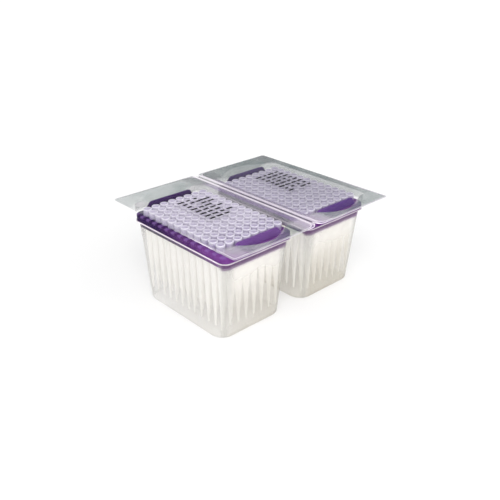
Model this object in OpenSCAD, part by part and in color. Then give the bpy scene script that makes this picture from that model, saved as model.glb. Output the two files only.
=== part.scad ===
// Twin blister pack of pipette tips: one clear formed tray with two deep tubs and a tear line
// between them, a clear sealed film over each half, and in each tub a rack deck with 96 tips.
// X runs across the two halves, Y along the long side of each deck, Z up. The origin is at the
// middle of the base.

/* [Tips] */
// Distance between neighbouring tips
tip_pitch = 9; // [9:0.25:10]
// Number of tips across one deck
tips_across = 8; // [4:1:9]
// Number of tips along one deck
tips_along = 12; // [12:1:13]
// Outer radius of a tip just under its collar
tip_body_r = 3.4; // [3:0.05:3.5]
// Outer radius of a tip at its waist
tip_waist_r = 2.7; // [2.2:0.05:2.9]
// Outer radius of a tip where the narrow nose begins
tip_nose_r = 1.1; // [0.9:0.05:1.4]
// Outer radius of a tip at its open lower end
tip_end_r = 0.75; // [0.6:0.05:0.85]
// Wall of a tip in its upper half
tip_wall = 0.5; // [0.4:0.05:0.7]
// Wall of a tip at its lower end
tip_end_wall = 0.35; // [0.25:0.05:0.4]
// Height of the collar that stands above the deck
collar_height = 6.4; // [4:0.1:9]
// Width of the seat by which the collar rests on the deck
collar_seat = 0.3; // [0.2:0.05:0.4]
// Chamfer around the top of the collar
collar_chamfer = 0.4; // [0.1:0.05:0.5]
// Length of the upper cone, from the top of the deck down to the waist
tip_upper_length = 30; // [24:1:36]
// Length of the lower cone, from the waist down to the nose
tip_lower_length = 35; // [28:1:42]
// Length of the narrow nose
tip_nose_length = 8; // [5:0.5:12]

/* [Rack deck] */
// Thickness of the perforated plate
plate_thickness = 1.5; // [1.2:0.1:2.5]
// Height of the outer rim that stands on the ledge of the tray
rim_height = 6.1; // [4:0.1:8]
// Thickness of the outer rim
rim_wall = 1.3; // [1:0.1:1.8]
// Step from the skirt out to the rim along the long sides
rim_step_side = 2.4; // [2.1:0.1:4]
// Step from the skirt out to the rim at the short ends
rim_step_end = 3.5; // [2.5:0.1:6]
// Depth that the skirt hangs below the ledge
skirt_drop = 5.8; // [3:0.1:9]
// Thickness of the skirt
skirt_wall = 0.9; // [0.7:0.1:1.2]
// Space between the outer tips and the skirt along the long sides
skirt_gap_side = 0.4; // [0.3:0.05:2]
// Space between the outer tips and the skirt at the short ends
skirt_gap_end = 4.7; // [3:0.1:8]
// Corner radius of the rim
rim_corner_r = 7; // [6:0.5:10]
// Corner radius of the skirt
skirt_corner_r = 6; // [4:0.5:7]
// Radial clearance of a tip in its hole
hole_clearance = 0.2; // [0.1:0.05:0.3]
// Width of a grip tab along its top edge
tab_top_width = 48; // [30:1:56]
// Width of a grip tab at the deck
tab_base_width = 58; // [57:1:64]
// Distance of a grip tab from the outer face of the rim
tab_inset = 2.6; // [0:0.1:4]
// Thickness of a grip tab
tab_wall = 1.6; // [1.2:0.1:3]
// Radius of the upper corners of a grip tab
tab_corner_r = 3; // [1:0.5:4]
// Free height between a grip tab and the film
tab_gap = 1.7; // [0.6:0.1:2.5]

/* [Tray] */
// Wall of the formed tray
wall = 0.6; // [0.4:0.05:1]
// Clearance around the rim of the deck
deck_clearance = 0.4; // [0.2:0.05:0.8]
// Clearance around the skirt of the deck
skirt_clearance = 0.35; // [0.2:0.05:0.6]
// Free height under the tip ends, above the floor of the tub
floor_gap = 8; // [5:0.5:20]
// Free height between the collars and the film
lid_gap = 3; // [1.5:0.1:6]
// Width of the web between the two cavities
web_width = 18; // [14:0.5:24]
// Width of the flange outside the cavities
flange_margin = 6.4; // [4:0.1:12]
// Corner radius of the flange
flange_corner_r = 2.5; // [1:0.5:5]
// Radius of the flange corners that face each other at the tear line
notch_r = 7.5; // [3:0.5:8]
// Half width of the gap between these corners where they meet the tear line
notch_root = 0.3; // [0.25:0.05:0.8]
// Radius of the round finger recess at each short end
recess_r = 37; // [32:0.5:38]
// Depth of the finger recess beyond the cavity, at the flange
recess_depth = 13; // [9:0.5:16]
// Height above the ledge at which the finger recess leaves the cavity wall
recess_lift = 2; // [1:0.5:4]
// Inward lean of a long tub side, from the foot of the skirt to the floor
side_draft = 0.6; // [0.4:0.1:1.2]
// Inward lean of a short tub end, from the foot of the skirt to the floor
end_draft = 5.6; // [2:0.1:6]
// Corner radius of a tub at its floor
floor_corner_r = 12; // [8:0.5:12.5]
// Rounding between the sides and the floor of a tub
floor_edge_r = 2; // [1:0.5:3]
// Width of the cuts that make the tear line
tear_width = 0.5; // [0.3:0.1:1]
// Length of one cut of the tear line
tear_length = 7; // [4:0.5:12]
// Bridge that is left between two cuts
tear_bridge = 2; // [1:0.5:4]

/* [Film] */
// Thickness of the sealed film
film_thickness = 0.15; // [0.1:0.05:0.3]
// Distance from the outer edge of the flange to the film
film_inset = 0.8; // [0.4:0.1:2]
// Distance from the tear line to the film
film_seam_gap = 3.5; // [2:0.1:5]

/* [Hidden] */
$fn = 64;
hull_fn = 32;
// How far a cut runs past the face that it opens
past = 1;
left = -1;
right = 1;

// Half sizes in plan, from the tips outwards
grid_half_x = (tips_across - 1) * tip_pitch / 2;
grid_half_y = (tips_along - 1) * tip_pitch / 2;
skirt_half_x = grid_half_x + tip_body_r + skirt_gap_side + skirt_wall;
skirt_half_y = grid_half_y + tip_body_r + skirt_gap_end + skirt_wall;
rim_half_x = skirt_half_x + rim_step_side;
rim_half_y = skirt_half_y + rim_step_end;
cavity_half_x = rim_half_x + deck_clearance;
cavity_half_y = rim_half_y + deck_clearance;
cavity_corner_r = rim_corner_r + deck_clearance;
// Tub, inside, at the foot of the skirt and at the floor
tub_half_x = skirt_half_x + skirt_clearance;
tub_half_y = skirt_half_y + skirt_clearance;
tub_corner_r = skirt_corner_r + skirt_clearance;
floor_half_x = tub_half_x - side_draft;
floor_half_y = tub_half_y - end_draft;
centre_x = cavity_half_x + web_width / 2;
flange_half_x = centre_x + cavity_half_x + flange_margin;
flange_half_y = cavity_half_y + recess_depth + flange_margin;

// Heights, from the floor upwards
tip_end_z = wall + floor_gap;
nose_z = tip_end_z + tip_nose_length;
waist_z = nose_z + tip_lower_length;
deck_z = waist_z + tip_upper_length;
collar_z = deck_z + collar_height;
flange_z = collar_z + lid_gap;
ledge_z = deck_z - rim_height;
skirt_z = ledge_z - skirt_drop;
tab_z = flange_z - tab_gap;

// Sideways run of the finger recess for each unit of height, and what the lean does to its wall
recess_slope = recess_depth / (flange_z - ledge_z - recess_lift);
recess_skew = sqrt(1 + recess_slope * recess_slope);

hole_r = tip_body_r + hole_clearance;
collar_r = hole_r + collar_seat;

// Rectangle with round corners, centred
module rounded_rectangle(half_x, half_y, r) {
    square([2 * half_x, 2 * (half_y - r)], center = true);
    square([2 * (half_x - r), 2 * half_y], center = true);
    for (sx = [-1, 1], sy = [-1, 1])
        translate([sx * (half_x - r), sy * (half_y - r)])
            circle(r);
}

// Ring of constant wall between two rounded rectangles
module rounded_frame(half_x, half_y, r, thickness) {
    difference() {
        rounded_rectangle(half_x, half_y, r);
        rounded_rectangle(half_x - thickness, half_y - thickness, r - thickness);
    }
}

// Upper cavity with its two finger recesses, grown outwards by a margin, from a floor to a top.
// Each recess is a cone that opens towards the flange.
module cavity_form(grow, floor_z, top_z) {
    translate([0, 0, floor_z])
        linear_extrude(top_z - floor_z)
            rounded_rectangle(cavity_half_x + grow, cavity_half_y + grow, cavity_corner_r + grow);
    for (sy = [-1, 1])
        translate([0, sy * (cavity_half_y + recess_depth - recess_r), ledge_z])
            cylinder(h = top_z - ledge_z,
                r1 = recess_r + grow * recess_skew - recess_slope * (flange_z - ledge_z),
                r2 = recess_r + grow * recess_skew + recess_slope * (top_z - flange_z));
}

// Thin level slice of a tub, used as a stage of its hull
module tub_slice(half_x, half_y, r, z) {
    slice = 0.01;
    translate([0, 0, z])
        linear_extrude(slice)
            rounded_rectangle(half_x, half_y, r, $fn = hull_fn);
}

// Solid form of a tub. Its sides lean in and its corners grow rounder on straight lines from the
// foot of the skirt down to the floor, and the same lines run on up to the top.
module tub_form(grow, floor_z, top_z) {
    rise = (top_z - skirt_z) / (skirt_z - floor_z - floor_edge_r);
    hull() {
        tub_slice(tub_half_x + side_draft * rise + grow, tub_half_y + end_draft * rise + grow,
            tub_corner_r - (floor_corner_r - tub_corner_r) * rise + grow, top_z);
        tub_slice(floor_half_x + grow, floor_half_y + grow, floor_corner_r + grow,
            floor_z + floor_edge_r);
        tub_slice(floor_half_x + grow - floor_edge_r, floor_half_y + grow - floor_edge_r,
            floor_corner_r + grow - floor_edge_r, floor_z);
    }
}

// Flange of both halves with a round-sided notch at each end of the tear line
module flange_outline() {
    difference() {
        rounded_rectangle(flange_half_x, flange_half_y, flange_corner_r);
        for (sy = [-1, 1])
            translate([0, sy * (flange_half_y - notch_r)])
                difference() {
                    translate([-notch_r, sy > 0 ? 0 : -notch_r - past])
                        square([2 * notch_r, notch_r + past]);
                    for (sx = [-1, 1])
                        translate([sx * (notch_r + notch_root), 0])
                            circle(notch_r);
                }
    }
}

// Row of cuts along the tear line
module tear_line() {
    step = tear_length + tear_bridge;
    free_half = flange_half_y - notch_r - tear_bridge;
    cuts = floor((2 * free_half + tear_bridge) / step);
    for (i = [0 : cuts - 1])
        translate([-tear_width / 2, (i - cuts / 2) * step + tear_bridge / 2, flange_z - wall - past])
            cube([tear_width, tear_length, wall + 2 * past]);
}

module blister_tray() {
    color([0.86, 0.89, 0.9, 0.4])
        difference() {
            union() {
                translate([0, 0, flange_z - wall])
                    linear_extrude(wall)
                        flange_outline();
                for (side = [left, right])
                    translate([side * centre_x, 0, 0]) {
                        cavity_form(wall, ledge_z - wall, flange_z);
                        tub_form(wall, 0, ledge_z - wall / 2);
                    }
            }
            for (side = [left, right])
                translate([side * centre_x, 0, 0]) {
                    cavity_form(0, ledge_z, flange_z + past);
                    tub_form(0, wall, ledge_z + past);
                }
            tear_line();
        }
}

// Sealed film over one half, clear of the tear line
module lid_film(side) {
    film_half_x = (flange_half_x - film_inset - film_seam_gap) / 2;
    film_half_y = flange_half_y - film_inset;
    color([0.82, 0.85, 0.88, 0.3])
        translate([side * (film_seam_gap + film_half_x), 0, flange_z])
            linear_extrude(film_thickness)
                difference() {
                    rounded_rectangle(film_half_x, film_half_y, flange_corner_r);
                    for (sy = [-1, 1])
                        translate([-side * film_half_x, sy * film_half_y])
                            difference() {
                                square(2 * notch_r, center = true);
                                translate([side * notch_r, -sy * notch_r])
                                    circle(notch_r);
                            }
                }
}

// Upright grip tab at one short end of a deck
module grip_tab(sy) {
    tab_base_z = deck_z - plate_thickness;
    corner_z = tab_z - tab_corner_r;
    // Half width of the leaning sides at the height of the round corners
    corner_half = tab_top_width / 2 - tab_corner_r;
    tab_y = rim_half_y - tab_inset;
    translate([0, sy > 0 ? tab_y : -tab_y + tab_wall, 0])
        rotate([90, 0, 0])
            linear_extrude(tab_wall) {
                polygon([[-tab_base_width / 2, tab_base_z], [tab_base_width / 2, tab_base_z],
                    [tab_base_width / 2, deck_z], [tab_top_width / 2, corner_z],
                    [-tab_top_width / 2, corner_z], [-tab_base_width / 2, deck_z]]);
                translate([-corner_half, corner_z - past])
                    square([2 * corner_half, tab_corner_r + past]);
                for (sx = [-1, 1])
                    translate([sx * corner_half, corner_z])
                        circle(tab_corner_r);
            }
}

module rack_deck(side) {
    color([0.29, 0.12, 0.5])
        translate([side * centre_x, 0, 0]) {
            difference() {
                translate([0, 0, deck_z - plate_thickness])
                    linear_extrude(plate_thickness)
                        rounded_rectangle(rim_half_x, rim_half_y, rim_corner_r);
                for (i = [0 : tips_across - 1], j = [0 : tips_along - 1])
                    translate([i * tip_pitch - grid_half_x, j * tip_pitch - grid_half_y,
                        deck_z - plate_thickness - past])
                        cylinder(h = plate_thickness + 2 * past, r = hole_r);
            }
            translate([0, 0, ledge_z])
                linear_extrude(rim_height)
                    rounded_frame(rim_half_x, rim_half_y, rim_corner_r, rim_wall);
            translate([0, 0, skirt_z])
                linear_extrude(rim_height + skirt_drop - plate_thickness / 2)
                    rounded_frame(skirt_half_x, skirt_half_y, skirt_corner_r, skirt_wall);
            for (sy = [-1, 1])
                grip_tab(sy);
        }
}

// One hollow tip, its axis on Z
module tip() {
    rotate_extrude()
        polygon([[tip_end_r - tip_end_wall, tip_end_z], [tip_end_r, tip_end_z],
            [tip_nose_r, nose_z], [tip_waist_r, waist_z],
            [tip_body_r, deck_z - plate_thickness], [tip_body_r, deck_z],
            [collar_r, deck_z], [collar_r, collar_z - collar_chamfer],
            [collar_r - collar_chamfer, collar_z],
            [tip_body_r - tip_wall / 2, collar_z], [tip_body_r - tip_wall, deck_z],
            [tip_waist_r - tip_wall, waist_z], [tip_nose_r - tip_end_wall, nose_z]]);
}

// One row of tips across a deck, counted from the front
module tip_row(side, row) {
    color([0.93, 0.93, 0.9])
        for (i = [0 : tips_across - 1])
            translate([side * centre_x + i * tip_pitch - grid_half_x,
                (row - 1) * tip_pitch - grid_half_y, 0])
                tip();
}

blister_tray();
lid_film(left);  // lid_film_left
lid_film(right);  // lid_film_right
rack_deck(left);  // rack_deck_left
rack_deck(right);  // rack_deck_right
tip_row(left, 1);  // tips_left_row_01
tip_row(left, 2);  // tips_left_row_02
tip_row(left, 3);  // tips_left_row_03
tip_row(left, 4);  // tips_left_row_04
tip_row(left, 5);  // tips_left_row_05
tip_row(left, 6);  // tips_left_row_06
tip_row(left, 7);  // tips_left_row_07
tip_row(left, 8);  // tips_left_row_08
tip_row(left, 9);  // tips_left_row_09
tip_row(left, 10);  // tips_left_row_10
tip_row(left, 11);  // tips_left_row_11
tip_row(left, 12);  // tips_left_row_12
tip_row(right, 1);  // tips_right_row_01
tip_row(right, 2);  // tips_right_row_02
tip_row(right, 3);  // tips_right_row_03
tip_row(right, 4);  // tips_right_row_04
tip_row(right, 5);  // tips_right_row_05
tip_row(right, 6);  // tips_right_row_06
tip_row(right, 7);  // tips_right_row_07
tip_row(right, 8);  // tips_right_row_08
tip_row(right, 9);  // tips_right_row_09
tip_row(right, 10);  // tips_right_row_10
tip_row(right, 11);  // tips_right_row_11
tip_row(right, 12);  // tips_right_row_12
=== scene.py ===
"""Twin blister pack of pipette tips: clear formed tray, two sealed films, two rack decks, 192 tips.

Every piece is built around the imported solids, in metres. X runs across the two halves, Y along the
long side of each deck and Z up.
"""

import math
from types import SimpleNamespace

import bmesh
import bpy
from bpy.props import FloatProperty, FloatVectorProperty, IntProperty, PointerProperty
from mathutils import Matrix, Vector


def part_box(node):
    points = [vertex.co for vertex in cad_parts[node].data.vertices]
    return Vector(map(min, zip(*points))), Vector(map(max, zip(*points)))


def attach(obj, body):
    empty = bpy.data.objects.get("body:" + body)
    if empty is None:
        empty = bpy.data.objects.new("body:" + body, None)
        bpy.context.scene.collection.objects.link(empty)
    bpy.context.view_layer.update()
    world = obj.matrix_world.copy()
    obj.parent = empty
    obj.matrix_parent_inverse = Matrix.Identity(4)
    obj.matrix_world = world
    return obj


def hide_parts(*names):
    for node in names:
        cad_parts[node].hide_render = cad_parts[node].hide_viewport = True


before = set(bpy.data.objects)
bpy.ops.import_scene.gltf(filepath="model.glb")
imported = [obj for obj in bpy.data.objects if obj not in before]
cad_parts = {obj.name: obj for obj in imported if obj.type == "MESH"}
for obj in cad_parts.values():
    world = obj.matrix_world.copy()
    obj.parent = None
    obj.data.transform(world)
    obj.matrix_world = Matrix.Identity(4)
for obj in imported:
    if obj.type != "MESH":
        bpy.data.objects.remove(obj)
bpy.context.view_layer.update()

bl_info = {
    "name": "Pipette Tip Twin Pack",
    "version": (1, 0, 0),
    "blender": (4, 5, 0),
    "location": "View3D > Sidebar > Tip Pack",
    "description": "Builds a twin blister pack of pipette tips around its packed solids",
    "category": "Add Mesh",
}

# ---------------------------------------------------------------- measures taken from the frame

MM = 0.001
SIDES = {"left": -1, "right": 1}

_, tray_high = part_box("blister_tray")
deck_low, deck_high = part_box("rack_deck_right")
film_low, film_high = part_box("lid_film_right")
first_low, first_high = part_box("tips_right_row_01")
ROWS = sum(name.startswith("tips_right_row_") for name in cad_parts)
last_low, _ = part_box(f"tips_right_row_{ROWS:02d}")

# Each half has its centre on the X axis, this far from the tear line
CENTRE_X = (deck_low.x + deck_high.x) / 2
COLLAR_R = (first_high.y - first_low.y) / 2
PITCH = (last_low.y - first_low.y) / (ROWS - 1)
COLUMNS = round((first_high.x - first_low.x - 2 * COLLAR_R) / PITCH) + 1
TIP_GRID = {"Columns": COLUMNS, "Rows": ROWS, "Span X": (COLUMNS - 1) * PITCH,
            "Span Y": (ROWS - 1) * PITCH}
TIP_END_Z = first_low.z
COLLAR_Z = first_high.z
SKIRT_Z = deck_low.z
TAB_Z = deck_high.z
FLANGE_Z = film_low.z
RIM_X = (deck_high.x - deck_low.x) / 2
RIM_Y = deck_high.y
FLANGE_X = tray_high.x
FLANGE_Y = tray_high.y
# Faces that would lie in one plane are kept this far apart
HAIR = 0.02 * MM
# Shorter than any length of the pack, in metres or as part of a direction
TINY = 1e-9


def deck_top():
    """Height of the decks' top face, under the collars of the tips."""
    return COLLAR_Z - bpy.context.scene.pack_tips.collar_height


def ledge_top():
    """Height of the tray's ledges, which the rims of the decks rest on."""
    return deck_top() - bpy.context.scene.pack_deck.rim_height


def length(name, description, default):
    """A length that a user may change, given in millimetres."""
    return FloatProperty(name=name, description=description, default=default * MM,
                         subtype="DISTANCE", unit="LENGTH", precision=5)


def share(name, description, default):
    """A plain number from nought to one."""
    return FloatProperty(name=name, description=description, default=default, min=0, max=1)


def tint(name, description, default):
    """A colour that a user may change."""
    return FloatVectorProperty(name=name, description=description, default=default,
                               subtype="COLOR", size=3, min=0, max=1)


def angle(name, description, default):
    """An angle, given in degrees."""
    return FloatProperty(name=name, description=description, default=math.radians(default),
                         subtype="ANGLE")


def point(name, description, default):
    """A point, in metres."""
    return FloatVectorProperty(name=name, description=description, default=default,
                               subtype="XYZ", unit="LENGTH")


def power(name, description, default):
    """The power of a lamp, in watts."""
    return FloatProperty(name=name, description=description, default=default, unit="POWER")


# ---------------------------------------------------------------- sizes, colours and light


class TipSizes(bpy.types.PropertyGroup):
    """Sizes of one tip, measured from the deck that it hangs in."""

    body_radius: length("Body radius", "Outer radius just under the collar", 3.4)
    waist_radius: length("Waist radius", "Outer radius at the waist", 2.7)
    nose_radius: length("Nose radius", "Outer radius where the nose begins", 1.1)
    end_radius: length("End radius", "Outer radius at the open lower end", 0.75)
    wall: length("Wall", "Wall in the upper half", 0.5)
    end_wall: length("End wall", "Wall at the lower end", 0.35)
    collar_height: length("Collar height", "Height of the collar above the deck", 6.4)
    chamfer: length("Chamfer", "Chamfer around the collar's top", 0.4)
    ring_height: length("Ring height", "Height of the smooth ring around the collar's top", 1.5)
    rib_depth: length("Rib depth", "Depth of the grooves between the collar's ribs", 0.16)
    upper_length: length("Upper length", "From the deck down to the waist", 30)
    lower_length: length("Lower length", "From the waist down to the nose", 35)
    segments: IntProperty(name="Segments", description="Faces around one tip", default=24, min=12)
    tilt: angle("Tilt", "Most that a tip leans in its hole", 0.4)
    seed: IntProperty(name="Seed", description="Seed of the tips' turn and lean", default=5)


class DeckSizes(bpy.types.PropertyGroup):
    """Sizes of one rack deck."""

    plate: length("Plate", "Thickness of the perforated plate", 1.5)
    rim_height: length("Rim height", "From the ledge of the tray up to the deck", 6.1)
    rim_wall: length("Rim wall", "Thickness of the outer rim", 1.3)
    step_side: length("Side step", "Step from the skirt out to the rim, long sides", 2.4)
    step_end: length("End step", "Step from the skirt out to the rim, short ends", 3.5)
    skirt_wall: length("Skirt wall", "Thickness of the skirt", 0.9)
    rim_corner: length("Rim corner", "Corner radius of the rim", 7)
    skirt_corner: length("Skirt corner", "Corner radius of the skirt", 6)
    hole_radius: length("Hole radius", "Radius of the holes that hold the tips", 3.6)
    top_round: length("Top rounding", "Rounding along the rim's top edge", 0.7)
    foot_round: length("Foot rounding", "Rounding along the rim's and the skirt's foot", 0.25)
    tab_top: length("Tab top width", "Width of a grip tab along its top", 48)
    tab_base: length("Tab base width", "Width of a grip tab at the deck", 58)
    tab_inset: length("Tab inset", "Distance of a grip tab from the outer face of the rim", 2.6)
    tab_wall: length("Tab wall", "Thickness of a grip tab", 1.6)
    tab_corner: length("Tab corner", "Radius of a grip tab's upper corners", 3)
    tab_round: length("Tab rounding", "Rounding along a grip tab's edges", 0.4)


class TraySizes(bpy.types.PropertyGroup):
    """Sizes of the clear tray."""

    wall: length("Wall", "Thickness of the formed sheet", 0.6)
    deck_clearance: length("Deck clearance", "Clearance around the rim of the deck", 0.4)
    skirt_clearance: length("Skirt clearance", "Clearance around the skirt of the deck", 0.35)
    side_draft: length("Side draft", "Lean of a long tub side, from skirt to floor", 0.6)
    end_draft: length("End draft", "Lean of a short tub end, from skirt to floor", 5.6)
    floor_corner: length("Floor corner", "Corner radius of a tub at its floor", 12)
    floor_round: length("Floor rounding", "Rounding between a tub's sides and its floor", 2)
    recess_radius: length("Recess radius", "Radius of the finger recess, at the flange", 37)
    recess_depth: length("Recess depth", "Depth of the finger recess, at the flange", 13)
    recess_lift: length("Recess lift", "Height at which the recess leaves the wall", 2)
    recess_blend: length("Recess blend", "Rounding where the recess meets the wall", 4)
    lip_round: length("Lip rounding", "Rounding between the flange and a cavity", 1)
    ledge_round: length("Ledge rounding", "Rounding along the inner edge of the ledge", 0.8)
    flange_corner: length("Flange corner", "Outer corner radius of the flange", 2.5)
    notch_radius: length("Notch radius", "Radius of the flange corners at the tear line", 7.5)
    notch_root: length("Notch root", "Half width of the notch where the tear line begins", 0.3)
    border: length("Border", "Width of the pale border along a cut edge", 0.5)
    cut_width: length("Cut width", "Width of a cut of the tear line", 0.5)
    cut_length: length("Cut length", "Length of a cut of the tear line", 7)
    bridge: length("Bridge", "Bridge left between two cuts", 2)
    # The lip's whitening is partly painted highlight
    lip_bend_highlight: share("Lip bend", "Whitening of a cavity's lip, as a share of a sharp bend's", 0.04)
    stretch_full: length("Full stretch", "Pull of the sheet at which it is fully cloudy", 2)


class FilmSizes(bpy.types.PropertyGroup):
    """Sizes of the sealed film and of the print on it."""

    inset: length("Inset", "Distance of the film from the flange's outer edge", 0.8)
    seam_gap: length("Seam gap", "Distance of the film from the tear line", 3.5)
    print_lines: IntProperty(name="Lines", description="Rows of printed dashes", default=8)
    print_columns: IntProperty(name="Dashes", description="Dashes in a row", default=4)
    print_width: length("Print width", "Width of the printed field, across the film", 24)
    print_depth: length("Print depth", "Depth of the printed field, along the film", 44)
    print_x: length("Print X", "Printed field's place across the film", 5)
    print_y: length("Print Y", "Printed field's place along the film", 11)
    dash_height: length("Dash height", "Height of a printed dash", 2.5)
    dash_least: length("Shortest dash", "Length of the shortest dash", 3.5)
    dash_most: length("Longest dash", "Length of the longest dash", 7.8)
    border: length("Border", "Width of the pale border of the film", 1.1)
    seam_border: length("Seam border", "Width of the pale border beside the tear line", 2.2)
    ink_depth: length("Ink depth", "Thickness of the printed ink", 0.03)
    print_fill: share("Fill", "Share of the places that hold a dash", 0.85)
    seed: IntProperty(name="Seed", description="Seed of the dashes", default=11)


class Finishes(bpy.types.PropertyGroup):
    """Colours of the finishes, some with painted light and shade, and how much one face of the clear
    parts hides.
    """

    # The flange's grey haze, growing towards the right and the back, is partly painted shade
    sheet: tint("Sheet", "Haze of the flange", (0.065, 0.135, 0.13))
    flange_haze: share("Flange haze", "Haze of the flange, at the left", 0.209)
    flange_haze_and_shade_right: share("Right flange haze", "The same at the right", 0.55)
    near_shade_share: share("Near share", "Share of the flange's haze at the near end", 0.6)
    strip_share: share("Strip share", "Share of it in the clear strip at the far left", 0.2)
    # Painted light: a lighter violet over the shaded gap between the halves
    web_lit_violet: tint("Web", "Haze of the flange between the two halves", (0.31, 0.235, 0.42))
    web_lit_haze: share("Web haze", "Haze of the flange between the two halves", 0.5)
    # Painted shadow in the groove of the tear line
    score_shadow: tint("Score", "Pressed line of the tear line", (0.1, 0.09, 0.11))
    score_shadow_haze: share("Score haze", "Haze of the pressed line", 0.3)
    # Painted highlight lines beside the tear line
    highlight_line_haze: share("Bead haze", "Haze of the raised beads beside the tear line", 0.34)
    # Bends and cut edges: partly the sheet's own whitening, partly painted highlight, and a painted
    # glow
    bend: tint("Bends", "Bends and cut edges of the clear sheet", (0.97, 0.9, 0.99))
    bend_haze_and_highlight: share("Bend haze", "Haze of the sheet's sharp bends and cut edges", 0.8)
    bend_painted_glow: share("Bend glow", "Light passing through a sharp bend", 0.24)
    bend_painted_light: tint("Bend light", "Colour of that light", (1.0, 0.88, 1.0))
    edge_haze_and_highlight: share("Edge haze", "Haze of the film's cut edge", 0.5)
    end_fade: share("End fade", "Part of a bend's haze that is missing at the ends", 0.35)
    # Painted light on the left walls beside the web; painted shade on the right half's walls
    seam_wall_light: tint("Seam wall", "Haze of the left wall beside the web", (0.66, 0.65, 0.66))
    cavity_haze: share("Cavity haze", "Haze of the walls over the deck", 0.0015)
    seam_wall_light_haze: share("Wall haze", "Haze of their upper part beside the web", 0.4)
    wall_haze_and_shade_right: share("Right wall haze", "The same at the far right", 0.24)
    # Near recesses: the stretched sheet's haze with a painted sheen; the far recess is grey, painted
    # shade, more at the right
    recess: tint("Recess", "Stretched sheet of the finger recesses", (0.74, 0.68, 0.76))
    recess_sheen_haze: share("Recess haze", "Haze of the near recesses", 0.36)
    far_recess_shade_haze: share("Far recess haze", "Haze of the far recess, at the left", 0.27)
    far_recess_shade_haze_right: share("Right far recess haze", "The same at the right", 0.42)
    tub: tint("Tub", "Haze of the tub walls, at the left", (0.83, 0.81, 0.78))
    tub_warm: tint("Warm tub", "Haze of the tub walls, at the right", (0.5, 0.44, 0.31))
    tub_haze: share("Tub haze", "Haze of the tub walls, at their top", 0.045)
    tub_low_haze: share("Low tub haze", "Haze of the tubs, at their floor", 0.07)
    # Painted shade in the tubs' corners
    tub_corner_shade: tint("Tub corner", "Haze of the tubs' corners", (0.58, 0.58, 0.55))
    corner_shade_haze: share("Corner haze", "Haze of the tubs' corners", 0.4)
    # Painted reflection of the deck's violet in the bend under the ledge
    ghost: tint("Ghost", "Violet seen in the bend under a ledge", (0.2, 0.1, 0.24))
    violet_reflection_haze: share("Ghost haze", "Haze of that bend, at the ends", 0.6)
    end_haze: share("End haze", "Haze of the tubs' end walls, at their top", 0.34)
    end_low_haze: share("Low end haze", "Haze of the tubs' end walls, at their floor", 0.14)
    # Painted glow of the end walls' upper part
    end_painted_glow: share("End glow", "Light passing through the end walls, at their top", 0.6)
    end_painted_light: tint("End light", "Colour of that light", (1.0, 0.96, 0.93))
    warm_top: share("Warm top", "Part of the tubs' warm colour that is left at their top", 0.1)
    tub_grazing: share("Tub grazing", "Haze added to a tub at a grazing look", 0.5)
    wall_grazing: share("Wall grazing", "Haze added over the ledge at a grazing look", 0.05)
    film: tint("Film", "Haze of the sealed film", (0.09, 0.1, 0.125))
    # Film: painted shade to the right and at the far recess, painted sheen over the left tips and
    # beside the near recesses
    film_haze: share("Film haze", "Haze of the film, at the left", 0.035)
    film_haze_and_shade_right: share("Right film haze", "The same at the right", 0.135)
    film_near_share: share("Near film share", "Share of it at the near end", 0.4)
    film_grazing: share("Film grazing", "Haze added to the film at a grazing look", 0.1)
    left_tips_sheen: tint("Mist", "Haze of the film over the left tips", (0.62, 0.6, 0.66))
    left_tips_sheen_haze: share("Mist haze", "Haze of the film over the left tips", 0.1)
    near_recess_sheen_haze: share("Cloud haze", "Haze of the film beside the near recesses", 0.25)
    far_haze: share("Far haze", "Haze of the film beside the far recess, at the left", 0.02)
    far_haze_and_shade_right: share("Right far haze", "The same at the right", 0.26)
    # Painted light: the lighter end of the decks and the tabs
    violet: tint("Violet", "Moulded plastic of the decks", (0.02, 0.002, 0.058))
    lit_orchid: tint("Orchid", "Lighter end of the decks", (0.175, 0.05, 0.255))
    lit_tab: tint("Tab", "Lighter end of the grip tabs", (0.155, 0.065, 0.26))
    lit_tab_right: tint("Right tab", "The same at the right", (0.095, 0.03, 0.215))
    right_tab_painted_light: share("Right tab light", "How much lighter the right tabs are", 0.3)
    mirror: tint("Mirrored collars", "Collars mirrored in a deck's rim", (0.28, 0.15, 0.45))
    milk: tint("Milk", "Moulded plastic of the tips", (0.55, 0.54, 0.52))
    milk_deep: tint("Deep milk", "The same where it is thicker", (0.5115, 0.5022, 0.4836))
    # Painted glow of the tips and collars, and painted shade at the collars' feet
    milk_painted_glow: share("Milk glow", "Light passing through the tips", 0.34)
    milk_painted_light: tint("Milk light", "Colour of that light", (1.0, 0.98, 0.94))
    collar: tint("Collar", "Tops of the tips, over the deck", (0.67, 0.64, 0.73))
    collar_foot_shade: tint("Low collar", "Feet of the collars, on the deck", (0.44, 0.37, 0.55))
    collar_painted_glow: share("Collar glow", "Light passing through the collars", 0.12)
    ink: tint("Ink", "Print on the film", (0.004, 0.003, 0.006))
    thin_ink: tint("Thin ink", "The same where it is thinner", (0.016, 0.015, 0.018))
    floor: tint("Floor", "Plain studio floor", (0.72, 0.72, 0.72))
    floor_dim: tint("Dim floor", "The same where it is a little darker", (0.709, 0.709, 0.709))


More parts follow.
